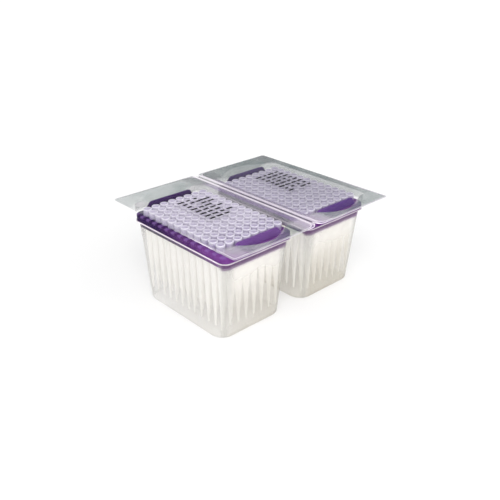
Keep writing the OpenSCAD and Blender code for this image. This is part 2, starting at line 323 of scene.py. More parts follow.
class StageSizes(bpy.types.PropertyGroup):
    """Camera, lamps and floor."""

    azimuth: angle("Azimuth", "Camera's turn about the pack", -42.95)
    elevation: angle("Elevation", "Camera's height angle", 26.46)
    distance: length("Distance", "From the camera to its target", 591.3)
    lens: FloatProperty(name="Lens", description="Focal length", default=46.27, unit="CAMERA")
    target: point("Target", "Point that the camera looks at", (-0.0106, -0.0095, 0.045))
    lit: point("Lit point", "Point that the lamps face", (0, 0, 0.05))
    key_place: point("Key place", "Place of the key lamp", (-0.66, -0.66, 0.85))
    key_size: length("Key size", "Side of the key lamp", 700)
    key_power: power("Key power", "Power of the key lamp", 8)
    fill_place: point("Fill place", "Place of the fill lamp", (0.6, -0.9, 0.5))
    fill_size: length("Fill size", "Side of the fill lamp", 800)
    fill_power: power("Fill power", "Power of the fill lamp", 2.5)
    ambient: share("Ambient", "Strength of the surrounding light", 0.8)
    floor_size: length("Floor size", "Side of the floor", 16000)
    floor_near: length("Near floor", "Distance from the pack to which its shadow falls", 150)
    floor_far: length("Far floor", "Distance from which the floor is plain", 900)
    floor_lift: share("Floor lift", "Light added to the near floor where it is only seen", 0.22)
    floor_lift_far: share("Far floor lift", "The same, on the far floor", 0.48)


# ---------------------------------------------------------------- node trees and plain meshes


class Number:
    """A number in a material's node tree. Sums written on it become nodes."""

    def __init__(self, tree, socket):
        self.tree = tree
        self.socket = socket

    def maths(self, operation, other=0.0, clamp=False):
        """One sum on this number and another."""
        node = put(self.tree, "ShaderNodeMath", {0: self, 1: other}, operation=operation,
                   use_clamp=clamp)
        return Number(self.tree, node.outputs[0])

    def ramp(self, low, high, start=0.0, stop=1.0):
        """This number taken from one range to another, clamped."""
        node = put(self.tree, "ShaderNodeMapRange", {0: self, 1: low, 2: high, 3: start, 4: stop})
        return Number(self.tree, node.outputs[0])

    def between(self, first, second):
        """Mix of two numbers, by this share."""
        node = put(self.tree, "ShaderNodeMix", {0: self, 2: first, 3: second},
                   data_type="FLOAT")
        return Number(self.tree, node.outputs[0])

    def paint(self, first, second):
        """Mix of two colours, by this share."""
        first, second = [c if isinstance(c, bpy.types.NodeSocket) else (*c, 1.0)
                         for c in (first, second)]
        node = put(self.tree, "ShaderNodeMix", {0: self, 6: first, 7: second},
                   data_type="RGBA")
        return node.outputs[2]

    def larger(self, other):
        """The larger of this number and another."""
        return self.maths("MAXIMUM", other)

    def rest(self):
        """What this share leaves of one."""
        return self.ramp(0, 1, 1, 0)

    def __add__(self, other):
        return self.maths("ADD", other)

    def __sub__(self, other):
        return self.maths("SUBTRACT", other)

    def __mul__(self, other):
        return self.maths("MULTIPLY", other)

    def __abs__(self):
        return self.maths("ABSOLUTE")


def feed(node, sockets):
    """Gives a node's inputs a link from another node's output each, or a plain value."""
    for key, value in sockets.items():
        if isinstance(value, Number):
            value = value.socket
        if isinstance(value, bpy.types.NodeSocket):
            node.id_data.links.new(value, node.inputs[key])
        else:
            node.inputs[key].default_value = value


def put(tree, kind, sockets=None, **settings):
    """Adds a node with its settings and its inputs."""
    node = tree.nodes.new(kind)
    node.location = (190 * len(tree.nodes), 0)
    for key, value in settings.items():
        setattr(node, key, value)
    feed(node, sockets or {})
    return node


def geometry_tree(name, inputs):
    """A geometry tree that repeats something on a grid, and its inputs by name."""
    kinds = {"int": "NodeSocketInt", "float": "NodeSocketFloat", "vector": "NodeSocketVector",
             "material": "NodeSocketMaterial", "geometry": "NodeSocketGeometry"}
    labels = {"Geometry": "geometry", "Columns": "int", "Rows": "int", "Span X": "float",
              "Span Y": "float", "Place": "vector", "Material": "material", **inputs}
    tree = bpy.data.node_groups.new(name, "GeometryNodeTree")
    for label, kind in labels.items():
        tree.interface.new_socket(label, in_out="INPUT", socket_type=kinds[kind])
    tree.interface.new_socket("Geometry", in_out="OUTPUT", socket_type=kinds["geometry"])
    return tree, put(tree, "NodeGroupInput").outputs


def repeated(tree, given, instance, **sockets):
    """Copies of a shape on the points of the tree's grid."""
    grid = put(tree, "GeometryNodeMeshGrid", {
        "Size X": given["Span X"], "Size Y": given["Span Y"],
        "Vertices X": given["Columns"], "Vertices Y": given["Rows"]})
    copies = put(tree, "GeometryNodeInstanceOnPoints", {
        "Points": grid.outputs[0], "Instance": instance, **sockets})
    return copies.outputs[0]


def random_value(tree, kind, seed, *ends):
    """A random value for each point. Each kind has inputs and an output of its own."""
    inputs, output = {"FLOAT_VECTOR": ((0, 1), 0), "FLOAT": ((2, 3), 1),
                      "BOOLEAN": ((6,), 3)}[kind]
    node = put(tree, "FunctionNodeRandomValue", {**dict(zip(inputs, ends)), 8: seed},
               data_type=kind)
    return node.outputs[output]


def moved(tree, given, geometry):
    """A geometry moved to the tree's place."""
    return put(tree, "GeometryNodeTransform", {
        "Geometry": geometry, "Translation": given["Place"]}).outputs[0]


def joined(tree, first, second):
    """Two geometries as one."""
    join = put(tree, "GeometryNodeJoinGeometry", {"Geometry": first})
    tree.links.new(second, join.inputs[0])
    return join.outputs[0]


def close_tree(tree, given, geometry):
    """Ends a geometry tree: plain faces with their material."""
    real = put(tree, "GeometryNodeRealizeInstances", {"Geometry": geometry})
    painted = put(tree, "GeometryNodeSetMaterial", {
        "Geometry": real.outputs[0], "Material": given["Material"]})
    put(tree, "NodeGroupOutput", {"Geometry": painted.outputs[0]})
    return tree


def grow(name, tree, values, start):
    """Runs a geometry tree on a starting mesh and keeps the result as a plain mesh."""
    carrier = bpy.data.objects.new(name + "_carrier", start)
    bpy.context.scene.collection.objects.link(carrier)
    modifier = carrier.modifiers.new("Grow", "NODES")
    modifier.node_group = tree
    for item in tree.interface.items_tree:
        if item.in_out == "INPUT" and item.name in values:
            modifier[item.identifier] = values[item.name]
    return plain_mesh(carrier, name)


def plain_mesh(carrier, name):
    """The carrier's mesh with its modifiers applied. The carrier is removed."""
    bpy.context.view_layer.update()
    seen = carrier.evaluated_get(bpy.context.evaluated_depsgraph_get())
    mesh = bpy.data.meshes.new_from_object(seen)
    mesh.name = name
    bpy.data.objects.remove(carrier)
    return mesh


def mesh_from(bm, name):
    """A mesh from a finished bmesh."""
    mesh = bpy.data.meshes.new(name)
    bm.to_mesh(mesh)
    bm.free()
    return mesh


def show(name, mesh, nodes=(), crease=35):
    """Puts a finished mesh in the scene as a piece of the pack."""
    mesh.shade_smooth()
    mesh.set_sharp_from_angle(angle=math.radians(crease))
    piece = bpy.data.objects.new(name, mesh)
    bpy.context.scene.collection.objects.link(piece)
    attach(piece, "root")
    if nodes:
        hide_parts(*nodes)


# ---------------------------------------------------------------- outlines


def quarter_round(steps):
    """Points of a rounding between two faces: how far each lies behind the one face and behind
    the other, as shares of the radius."""
    turns = [math.radians(90 * k / steps) for k in range(steps + 1)]
    return [(1 - math.sin(a), 1 - math.cos(a)) for a in turns]


def arc(centre, radius, start, stop, steps):
    """Points along an arc, its angles in degrees."""
    turns = [math.radians(start + (stop - start) * k / steps) for k in range(steps + 1)]
    return [(centre[0] + radius * math.cos(a), centre[1] + radius * math.sin(a)) for a in turns]


def rounded_rectangle(half_x, half_y, radius, steps=10):
    """Outline of a rectangle with round corners, anticlockwise."""
    x, y = half_x - radius, half_y - radius
    corners = [((x, -y), -90), ((x, y), 0), ((-x, y), 90), ((-x, -y), 180)]
    return [p for centre, a in corners for p in arc(centre, radius, a, a + 90, steps)]


def flange_outline(sizes, inset):
    """Outer edge of the flange with a notch at each end of the tear line, moved inwards."""
    corner, notch = sizes.flange_corner, sizes.notch_radius
    x, y = FLANGE_X - corner, FLANGE_Y - corner
    nx, ny = notch + sizes.notch_root, FLANGE_Y - notch
    root = sizes.notch_root + inset

    def bend(centre, radius, start):
        return arc(centre, radius - inset, start, start + 90, 8)

    half = [*bend((x, -y), corner, -90), *bend((x, y), corner, 0),
            *bend((nx, ny), notch, 90)[:-1], (root, ny - inset)]
    left = [(-root, ny - inset), *bend((-nx, ny), notch, 0)[1:], *bend((-x, y), corner, 90),
            *bend((-x, -y), corner, 180), *bend((-nx, -ny), notch, 270)[:-1],
            (-root, inset - ny), (root, inset - ny), *bend((nx, -ny), notch, 180)[1:]]
    return half + left


def film_outline(sizes, tray, side, inset):
    """Outline of one film: round outer corners, and a notch corner beside each end of the seam."""
    low = sizes.seam_gap + inset * sizes.seam_border / sizes.border
    high = FLANGE_X - sizes.inset - inset
    half_y = FLANGE_Y - sizes.inset - inset
    outer = tray.flange_corner - inset
    inner = tray.notch_radius - inset
    points = [*arc((high - outer, outer - half_y), outer, -90, 0, 8),
              *arc((high - outer, half_y - outer), outer, 0, 90, 8),
              *arc((low + inner, half_y - inner), inner, 90, 180, 12),
              *arc((low + inner, inner - half_y), inner, 180, 270, 12)]
    return points if side > 0 else [(-px, py) for px, py in reversed(points)]


def soft_max(a, b, width):
    """The larger of two lengths, with a round passage where they are alike."""
    overlap = max(width - abs(a - b), 0) / width
    return max(a, b) + overlap * overlap * width / 4


def reach_rectangle(way, half_x, half_y, radius):
    """Distance from the centre to a rounded rectangle along a direction."""
    dx, dy = abs(way[0]), abs(way[1])
    x, y = half_x - radius, half_y - radius
    side = half_x / dx if dx > TINY else math.inf
    end = half_y / dy if dy > TINY else math.inf
    flat = min(side, end)
    if flat * dx <= x + TINY or flat * dy <= y + TINY:
        return flat
    along = x * dx + y * dy
    return along + math.sqrt(max(along * along - x * x - y * y + radius * radius, 0))


def reach_circle(way, centre_y, radius):
    """Distance from the centre to the far side of a circle on the Y axis."""
    dx, dy = abs(way[0]), abs(way[1])
    free = radius * radius - (centre_y * dx) ** 2
    return centre_y * dy + math.sqrt(free) if free > 0 else 0.0


def spokes():
    """Directions around one half, closer together near the corners and the recesses."""
    # Each stretch of a quarter turn: its first and last angle, and the directions in it
    stretches = [(0, 42, 8), (42, 68, 34), (68, 90, 18)]
    quarter = [a + (b - a) * k / n for a, b, n in stretches for k in range(n)] + [90]
    turns = sorted({round(t, 4) % 360 for a in quarter for t in (a, 180 - a, 180 + a, 360 - a)})
    return [(math.cos(math.radians(t)), math.sin(math.radians(t))) for t in turns]


# ---------------------------------------------------------------- clear tray


# How far each ring of a rounding whitens, partly the sheet's own whitening and partly painted
# highlight: over the ledge, under it, and at a tub's floor
LEDGE_BENDS = (0.7, 1, 1, 1, 1)
UNDER_BENDS = (1, 1, 0.8, 0.4, 0)
FOOT_BENDS = (0, 0.06, 0.08, 0.06, 0)


class Hollow:
    """Inner face of one half of the tray, as distances from its centre at each height."""

    def __init__(self, tray, deck):
        self.tray = tray
        self.ledge_z = ledge_top()
        self.cavity = (RIM_X + tray.deck_clearance, RIM_Y + tray.deck_clearance,
                       deck.rim_corner + tray.deck_clearance)
        self.tub = (RIM_X - deck.step_side + tray.skirt_clearance,
                    RIM_Y - deck.step_end + tray.skirt_clearance,
                    deck.skirt_corner + tray.skirt_clearance)
        self.floor_z = tray.wall
        self.slope = tray.recess_depth / (FLANGE_Z - self.ledge_z - tray.recess_lift)

    def cavity_reach(self, way, z):
        """Upper cavity with its finger recess, a cone that opens towards the flange."""
        box = reach_rectangle(way, *self.cavity)
        radius = self.tray.recess_radius - self.slope * (FLANGE_Z - z)
        centre_y = self.cavity[1] + self.tray.recess_depth - self.tray.recess_radius
        cone = reach_circle(way, centre_y, radius)
        return soft_max(box, cone, self.tray.recess_blend)

    def tub_reach(self, way, z):
        """Tub, whose sides lean in and whose corners grow rounder down to the floor."""
        foot = self.floor_z + self.tray.floor_round
        rise = (max(z, foot) - SKIRT_Z) / (SKIRT_Z - foot)
        half_x, half_y, corner = self.tub
        corner -= (self.tray.floor_corner - corner) * rise
        return reach_rectangle(way, half_x + self.tray.side_draft * rise,
                               half_y + self.tray.end_draft * rise, corner)

    def stretch(self, way, z):
        """Share by which the recess pulls the sheet away from the plain wall."""
        plain = reach_rectangle(way, *self.cavity)
        return min(max((self.cavity_reach(way, z) - plain) / self.tray.stretch_full, 0), 1)

    def rings(self):
        """Rings from the flange down to the floor: reach, outward step, height and bend."""
        tray = self.tray
        quarter = quarter_round(4)
        lip, ledge, foot = tray.lip_round, tray.ledge_round, tray.floor_round
        inner = tray.deck_clearance
        for out, down in quarter:
            yield self.cavity_reach, lip * out, FLANGE_Z - lip * down, tray.lip_bend_highlight
        wall_top, wall_low, levels = FLANGE_Z - lip, self.ledge_z + 1 * MM, 9
        for k in range(1, levels + 1):
            yield self.cavity_reach, 0, wall_top + (wall_low - wall_top) * k / levels, 0
        for (up, back), bend in zip(quarter, LEDGE_BENDS):
            yield self.cavity_reach, -inner * back, self.ledge_z + inner * up, bend
        for (out, down), bend in zip(quarter, UNDER_BENDS):
            yield self.tub_reach, ledge * out, self.ledge_z - ledge * down, bend
        side_top, side_low, levels = self.ledge_z - ledge, self.floor_z + foot, 8
        for k in range(1, levels):
            yield self.tub_reach, 0, side_top + (side_low - side_top) * k / levels, 0
        for (up, back), bend in zip(quarter, FOOT_BENDS):
            yield self.tub_reach, -foot * back, self.floor_z + foot * up, bend


def add_ring(bm, points, bend, stretches=()):
    """One ring of vertices, each with how much it is bent and, in a recess, stretched."""
    bend_layer = bm.verts.layers.float["bend"]
    ring = [bm.verts.new(p) for p in points]
    for vert in ring:
        vert[bend_layer] = bend
    for vert, stretch in zip(ring, stretches):
        vert[bm.verts.layers.float["stretch"]] = stretch
    return ring


def new_sheet():
    """An empty bmesh with the values that the clear finishes read."""
    bm = bmesh.new()
    for name in ("bend", "stretch"):
        bm.verts.layers.float.new(name)
    return bm


def bridge(bm, upper, lower):
    """Quads between two rings of equal count."""
    for k in range(len(upper)):
        bm.faces.new((upper[k - 1], upper[k], lower[k], lower[k - 1]))


def edge_loop(bm, verts):
    """Edges around a closed loop of vertices, made where they are missing."""
    pairs = [(verts[k - 1], verts[k]) for k in range(len(verts))]
    return [bm.edges.get(pair) or bm.edges.new(pair) for pair in pairs]


def form_half(bm, hollow, side):
    """Cavity, ledge and tub of one half. Gives the ring that meets the flange."""
    ways = spokes()
    centre_x = side * CENTRE_X
    top = above = None
    for reach, step, z, bend in hollow.rings():
        points = []
        for way in ways:
            far = reach(way, z) + step
            points.append((centre_x + far * way[0], far * way[1], z))
        upper = reach == hollow.cavity_reach
        stretches = [hollow.stretch(way, z) for way in ways] if upper else []
        ring = add_ring(bm, points, bend, stretches)
        if above:
            bridge(bm, above, ring)
        top = top or ring
        above = ring
    # The floor closes in smaller and smaller rings
    for scale in (0.8, 0.45, 0.15):
        points = [(centre_x + (v.co.x - centre_x) * scale, v.co.y * scale, v.co.z) for v in ring]
        inner = add_ring(bm, points, 0)
        bridge(bm, above, inner)
        above = inner
    bm.faces.new(above)
    return top


def tear_cuts(tray):
    """Corners of each cut along the tear line."""
    step = tray.cut_length + tray.bridge
    free = FLANGE_Y - tray.notch_radius - tray.bridge
    count = int((2 * free + tray.bridge) / step)
    half = tray.cut_width / 2
    for k in range(count):
        y = (k - count / 2) * step + tray.bridge / 2
        yield [(-half, y), (half, y), (half, y + tray.cut_length), (-half, y + tray.cut_length)]


def build_tray(material):
    """The tray as one closed shell: flange, cavities with recesses, ledges and tubs."""
    scene = bpy.context.scene
    tray = scene.pack_tray
    hollow = Hollow(tray, scene.pack_deck)
    bm = new_sheet()
    mouths = [form_half(bm, hollow, side) for side in SIDES.values()]
    outer = add_ring(bm, [(x, y, FLANGE_Z) for x, y in flange_outline(tray, 0)], 1)
    border = [(x, y, FLANGE_Z) for x, y in flange_outline(tray, tray.border)]
    border = add_ring(bm, border, 0)
    bridge(bm, border, outer)
    loops = [border, *mouths]
    for cut in tear_cuts(tray):
        loops.append(add_ring(bm, [(x, y, FLANGE_Z) for x, y in cut], 0))
    edges = [edge for loop in loops for edge in edge_loop(bm, loop)]
    bmesh.ops.triangle_fill(bm, edges=edges, use_beauty=True)
    bm.normal_update()
    low = [f for f in bm.faces if f.normal.z < 0 and f.calc_center_median().z > FLANGE_Z - HAIR]
    bmesh.ops.reverse_faces(bm, faces=low)
    carrier = bpy.data.objects.new("tray_carrier", mesh_from(bm, "tray_face"))
    scene.collection.objects.link(carrier)
    carrier.data.materials.append(material)
    wall = carrier.modifiers.new("Sheet", "SOLIDIFY")
    wall.thickness = tray.wall
    wall.offset = -1
    wall.use_even_offset = True
    return plain_mesh(carrier, "clear_tray")


# ---------------------------------------------------------------- sealed films and their print


def build_film(side, material):
    """One film as a thin closed sheet with a pale border."""
    scene = bpy.context.scene
    film, tray = scene.pack_film, scene.pack_tray
    bm = new_sheet()
    edges = []
    for z in (film_low.z + HAIR, film_high.z):
        outer, inner = [
            add_ring(bm, [(x, y, z) for x, y in film_outline(film, tray, side, inset)], bend)
            for inset, bend in ((0, 1), (film.border, 0))]
        bridge(bm, inner, outer)
        bm.faces.new(inner)
        edges.append(outer)
    bridge(bm, *edges)
    bmesh.ops.recalc_face_normals(bm, faces=bm.faces)
    mesh = mesh_from(bm, "seal_film")
    mesh.materials.append(material)
    return mesh


def print_tree():
    """Field of plain dashes: rows of thin bars of random length, some left out."""
    tree, given = geometry_tree("Printed dashes", {
        "Bar": "vector", "Shortest": "float", "Longest": "float", "Fill": "float",
        "Seed": "int"})
    bar = put(tree, "GeometryNodeMeshCube", {"Size": given["Bar"]})
    kept = random_value(tree, "BOOLEAN", given["Seed"], given["Fill"])
    stretch = random_value(tree, "FLOAT", given["Seed"], given["Shortest"], given["Longest"])
    scale = put(tree, "ShaderNodeCombineXYZ", {"X": stretch, "Y": 1.0, "Z": 1.0})
    bars = repeated(tree, given, bar.outputs[0], Selection=kept, Scale=scale.outputs[0])
    return close_tree(tree, given, moved(tree, given, bars))


def build_print(side, tree, material):
    """The dashes on one film."""
    film = bpy.context.scene.pack_film
    middle = (film.seam_gap + FLANGE_X - film.inset) / 2
    place = (side * middle + film.print_x, film.print_y, film_high.z + film.ink_depth)
    # A bar is one metre long, so that its random scale is its length
    values = {"Columns": film.print_columns, "Rows": film.print_lines,
              "Span X": film.print_width, "Span Y": film.print_depth, "Place": place,
              "Bar": (1.0, film.dash_height, film.ink_depth),
              "Shortest": film.dash_least, "Longest": film.dash_most,
              "Fill": film.print_fill, "Seed": film.seed + side, "Material": material}
    return grow("print", tree, values, bpy.data.meshes.new("print_start"))


# ---------------------------------------------------------------- rack decks


def deck_rings(deck):
    """Section of a deck's rim and skirt, once around: half sizes, corner radius and height."""
    deck_z = deck_top()
    under_z = deck_z - deck.plate
    ledge_z = ledge_top() + HAIR
    skirt_x, skirt_y = RIM_X - deck.step_side, RIM_Y - deck.step_end
    quarter = quarter_round(3)

    def rim(step, z):
        return RIM_X - step, RIM_Y - step, deck.rim_corner - step, z

    def skirt(step, z):
        return skirt_x - step, skirt_y - step, deck.skirt_corner - step, z

    top, foot = deck.top_round, deck.foot_round
    rings = [skirt(deck.skirt_wall, deck_z)]
    rings += [rim(top * out, deck_z - top * down) for out, down in quarter]
    rings += [rim(foot * back, ledge_z + foot * up) for up, back in quarter]
    rings += [rim(deck.rim_wall, ledge_z), rim(deck.rim_wall, under_z), skirt(0, under_z)]
    rings += [skirt(foot * back, SKIRT_Z + foot * up) for up, back in quarter]
    rings += [skirt(deck.skirt_wall, SKIRT_Z), skirt(deck.skirt_wall, under_z)]
    return rings


def add_deck_frame(bm, deck, side):
    """Rim and skirt of a deck as one closed ring."""
    rings = []
    for half_x, half_y, radius, z in deck_rings(deck):
        outline = rounded_rectangle(half_x, half_y, radius)
        rings.append([bm.verts.new((side * CENTRE_X + x, y, z)) for x, y in outline])
    for k in range(len(rings)):
        bridge(bm, rings[k - 1], rings[k])


def add_grip_tab(bm, deck, side, end):
    """One upright grip tab with rounded edges."""
    deck_z = deck_top()
    corner_z = TAB_Z - deck.tab_corner
    corner_x = deck.tab_top / 2 - deck.tab_corner
    foot_z = deck_z - deck.plate + HAIR
    outline = [(-deck.tab_base / 2, foot_z), (deck.tab_base / 2, foot_z),
               (deck.tab_base / 2, deck_z),
               *arc((corner_x, corner_z), deck.tab_corner, 0, 90, 6),
               *arc((-corner_x, corner_z), deck.tab_corner, 90, 180, 6),
               (-deck.tab_base / 2, deck_z)]
    faces = []
    for y in (RIM_Y - deck.tab_inset, RIM_Y - deck.tab_inset - deck.tab_wall):
        faces.append([bm.verts.new((side * CENTRE_X + x, end * y, z)) for x, z in outline])
    edges = [edge for ring in faces for edge in edge_loop(bm, ring)]
    bridge(bm, *faces)
    for ring in faces:
        bm.faces.new(ring)
    bmesh.ops.bevel(bm, geom=edges, offset=deck.tab_round, segments=3, profile=0.5,
                    affect="EDGES", clamp_overlap=True)


def panel_tree():
    """Perforated plate: a grid of round holes in a rounded panel, joined to the deck's frame."""
    tree, given = geometry_tree("Perforated plate", {
        "Hole Radius": "float", "Width": "float", "Depth": "float", "Corner": "float",
        "Thickness": "vector"})
    hole = put(tree, "GeometryNodeCurvePrimitiveCircle", {
        "Resolution": 24, "Radius": given["Hole Radius"]})
    holes = put(tree, "GeometryNodeRealizeInstances", {
        "Geometry": repeated(tree, given, hole.outputs[0])})
    panel = put(tree, "GeometryNodeCurvePrimitiveQuadrilateral", {
        "Width": given["Width"], "Height": given["Depth"]})
    rounded = put(tree, "GeometryNodeFilletCurve", {
        "Curve": panel.outputs[0], "Count": 8, "Radius": given["Corner"]}, mode="POLY")
    outlines = joined(tree, rounded.outputs[0], holes.outputs[0])
    face = put(tree, "GeometryNodeFillCurve", {"Curve": outlines}, mode="TRIANGLES")
    under = put(tree, "GeometryNodeFlipFaces", {"Mesh": face.outputs[0]})
    deep = put(tree, "GeometryNodeExtrudeMesh", {
        "Mesh": under.outputs[0], "Offset": given["Thickness"], "Individual": False})
    closed = put(tree, "GeometryNodeMergeByDistance", {
        "Geometry": joined(tree, deep.outputs[0], face.outputs[0]), "Distance": 1e-6})
    plate = moved(tree, given, closed.outputs[0])
    return close_tree(tree, given, joined(tree, plate, given["Geometry"]))


def build_deck(side, tree, material):
    """One rack deck: frame and grip tabs, with the perforated plate grown into them."""
    deck = bpy.context.scene.pack_deck
    bm = bmesh.new()
    add_deck_frame(bm, deck, side)
    for end in (-1, 1):
        add_grip_tab(bm, deck, side, end)
    bmesh.ops.recalc_face_normals(bm, faces=bm.faces)
    # The plate reaches a little way into the frame and lies a hair below its top
    lap = 0.1 * MM
    step = deck.skirt_wall - lap
    values = {**TIP_GRID, "Hole Radius": deck.hole_radius,
              "Width": 2 * (RIM_X - deck.step_side - step),
              "Depth": 2 * (RIM_Y - deck.step_end - step),
              "Corner": deck.skirt_corner - step,
              "Place": (side * CENTRE_X, 0.0, deck_top() - HAIR),
              "Thickness": (0.0, 0.0, 2 * HAIR - deck.plate), "Material": material}
    return grow("deck", tree, values, mesh_from(bm, "deck_frame"))


# ---------------------------------------------------------------- tips


def tip_profile(tip):
    """Section of one tip, from its lower end up the outside and down the bore. Height nought
    is the deck. Each point has a radius, a height and the depth of its grooves."""
    end_z = TIP_END_Z - COLLAR_Z + tip.collar_height
    waist_z = -tip.upper_length
    nose_z = waist_z - tip.lower_length
    top_z = tip.collar_height
    ring_z = top_z - tip.ring_height
    groove = tip.rib_depth
    return [
        (tip.end_radius, end_z, 0),
        (tip.nose_radius, nose_z, 0),
        (tip.waist_radius, waist_z, 0),
        (tip.body_radius, -HAIR, 0),
        (COLLAR_R - tip.chamfer / 2, HAIR, groove),
        (COLLAR_R, tip.chamfer / 2, groove),
        (COLLAR_R, ring_z - tip.chamfer / 2, groove),
        (COLLAR_R, ring_z, 0),
        (COLLAR_R, top_z - tip.chamfer, 0),
        (COLLAR_R - tip.chamfer, top_z, 0),
        (tip.body_radius - tip.wall / 2, top_z, 0),
        (tip.body_radius - tip.wall, 0, 0),
        (tip.waist_radius - tip.wall, waist_z, 0),
        (tip.nose_radius - tip.end_wall, nose_z, 0),
        (tip.end_radius - tip.end_wall, end_z, 0),
    ]


def build_tip(tip):
    """One hollow tip on the Z axis, its collar ribbed and ringed."""
    bm = bmesh.new()
    rings = []
    for radius, z, groove in tip_profile(tip):
        ring = []
        for k in range(tip.segments):
            turn = 2 * math.pi * k / tip.segments
            r = radius - groove * (k % 2)
            ring.append(bm.verts.new((r * math.cos(turn), r * math.sin(turn), z)))
        rings.append(ring)
    for k in range(len(rings)):
        bridge(bm, rings[k - 1], rings[k])
    bmesh.ops.recalc_face_normals(bm, faces=bm.faces)
    return mesh_from(bm, "tip")


def tips_tree():
    """A rack full of tips, each with its own turn and a slight lean."""
    tree, given = geometry_tree("Rack of tips", {
        "Least Turn": "vector", "Most Turn": "vector", "Seed": "int"})
    turn = random_value(tree, "FLOAT_VECTOR", given["Seed"], given["Least Turn"],
                        given["Most Turn"])
    tips = repeated(tree, given, given["Geometry"], Rotation=turn)
    return close_tree(tree, given, moved(tree, given, tips))


def fill_rack(side, tree, material):
    """The tips of one deck."""
    tip = bpy.context.scene.pack_tips
    lean = tip.tilt / math.sqrt(2)
    values = {**TIP_GRID, "Place": (side * CENTRE_X, 0.0, deck_top()),
              "Least Turn": (-lean, -lean, 0.0), "Most Turn": (lean, lean, 2 * math.pi),
              "Seed": tip.seed + side, "Material": material}
    return grow("tips", tree, values, build_tip(tip))


# ---------------------------------------------------------------- finishes

# Lengths that tell where on the pack a surface lies, from its object coordinates
MEASURES = {
    "x": lambda x, y, z: x,
    "y": lambda x, y, z: y,
    "z": lambda x, y, z: z,
    # From the tear line, from the middle of the long side, and from the middle of the own half
    "across": lambda x, y, z: abs(x),
    "along": lambda x, y, z: abs(y),
    "local": lambda x, y, z: from_centre(x),
    "aside": lambda x, y, z: abs(from_centre(x)),
    # Above the ledge, above the deck, and as a share of the way from the ledge to the tab's top
    "rise": lambda x, y, z: z - ledge_top(),
    "lift": lambda x, y, z: z - deck_top(),
    "up_deck": lambda x, y, z: z.ramp(ledge_top(), TAB_Z),
    # Towards the end walls of a tub, which lean in. It is taken at the ledge.
    "end": lambda x, y, z: abs(y) - (z - ledge_top()) * end_lean(),
    # Towards the right and the near end
    "slant": lambda x, y, z: x - y * 0.8,
    # Minus one beside each row of tips, and one between two rows
    "beat": lambda x, y, z: (y * (2 * math.pi / PITCH)).maths("COSINE"),
}
# The pale cut edges, partly painted highlight, show less towards the back
EDGE_FADE = ("y", -0.5 * FLANGE_Y, 0, 0, 0.75)

# Where one finish passes into the next: along which measure, from where and to where. Two more
# numbers stand for what it passes from and to, where that isn't nought and one.
SHEET_SPANS = {
    # Flange
    "flange": ("z", FLANGE_Z - 1.6 * MM, FLANGE_Z - 0.7 * MM),
    "right": ("x", -FLANGE_X, 0.6 * FLANGE_X),
    "inwards": ("y", -FLANGE_Y, 0),
    "past_strip": ("x", -0.94 * FLANGE_X, -0.9 * FLANGE_X),
    "far": ("y", 0.6 * FLANGE_Y, 0.75 * FLANGE_Y),
    "past_web": ("across", 10 * MM, 14 * MM),
    "past_rim": ("y", 0.92 * RIM_Y, RIM_Y),
    "edge_fade": EDGE_FADE,
    # Tear line with its painted shadow, and the painted highlight lines beside it
    "score_shadow": ("across", 0.9 * MM, 1.3 * MM, 1, 0),
    "bead_start": ("across", 1.3 * MM, 1.7 * MM),
    "bead_stop": ("across", 3.6 * MM, 4.2 * MM, 1, 0),
    # Walls and recesses over the ledge
    "over_ledge": ("rise", -0.5 * MM, 0),
    "over_rim": ("rise", 7 * MM, 9 * MM),
    "side_wall": ("local", 0.93 * RIM_X, 0.97 * RIM_X),
    "far_wall": ("y", 0.9 * RIM_Y, 0.97 * RIM_Y),
    "past_seam": ("x", -20 * MM, 20 * MM),
    "far_half": ("y", -10 * MM, 10 * MM),
    # Tubs
    "up_tub": ("z", 10 * MM, 60 * MM),
    "up_end": ("z", 20 * MM, 60 * MM),
    "up_glow": ("z", 20 * MM, 50 * MM),
    "warm": ("slant", -1.1 * FLANGE_X, 0.5 * FLANGE_X),
    "end": ("end", RIM_Y - 9 * MM, RIM_Y - 5 * MM),
    "corner": ("aside", 24 * MM, 31 * MM, 0, 0.7),
    "under_rim": ("rise", -8.6 * MM, -6.6 * MM),
    "under_skirt": ("z", SKIRT_Z - 1.5 * MM, SKIRT_Z, 1, 0),
}
FILM_SPANS = {
    "right": ("x", -0.5 * FLANGE_X, 0.5 * FLANGE_X),
    "inwards": ("y", -0.75 * FLANGE_Y, -0.5 * FLANGE_Y),
    # Tips under the left film
    "left_tips": ("x", -22 * MM, 4 * MM, 1, 0),
    "middle_rows": ("along", 36 * MM, 46 * MM, 1, 0),
    # Beside the finger recesses
    "beside": ("aside", 26 * MM, 32 * MM),
    "near": ("y", -0.7 * FLANGE_Y, -0.8 * FLANGE_Y),
    "far": ("y", 0.6 * FLANGE_Y, 0.7 * FLANGE_Y),
    "far_right": ("x", -FLANGE_X, 0),
    "cloud_fade": ("x", 50 * MM, 60 * MM, 1, 0.2),
    # Cut edge
    "past_seam": ("across", 10 * MM, 20 * MM),
    "edge_fade": EDGE_FADE,
}
DECK_SPANS = {
    "near": ("y", 0.5 * RIM_Y, -RIM_Y),
    "right": ("x", 0, CENTRE_X),
    "over_deck": ("lift", 0, 0.6 * MM),
    # Painted shade and light: darker towards the foot of the rim, lighter towards its top
    "deepening": ("up_deck", 0, 1, -0.12, 0.24),
    # Collars mirrored in the top of the rim's left side
    "mirrored": ("beat", 0.35, -0.4),
    "rim_top": ("lift", -2.2 * MM, -0.4 * MM, 0, 0.5),
    "left_rim": ("local", -0.88 * RIM_X, -0.92 * RIM_X),
}
TIP_SPANS = {
    "over_skirt": ("z", SKIRT_Z, SKIRT_Z + 4 * MM),
    "up_collar": ("z", COLLAR_Z - 3.5 * MM, COLLAR_Z - 0.3 * MM),
}

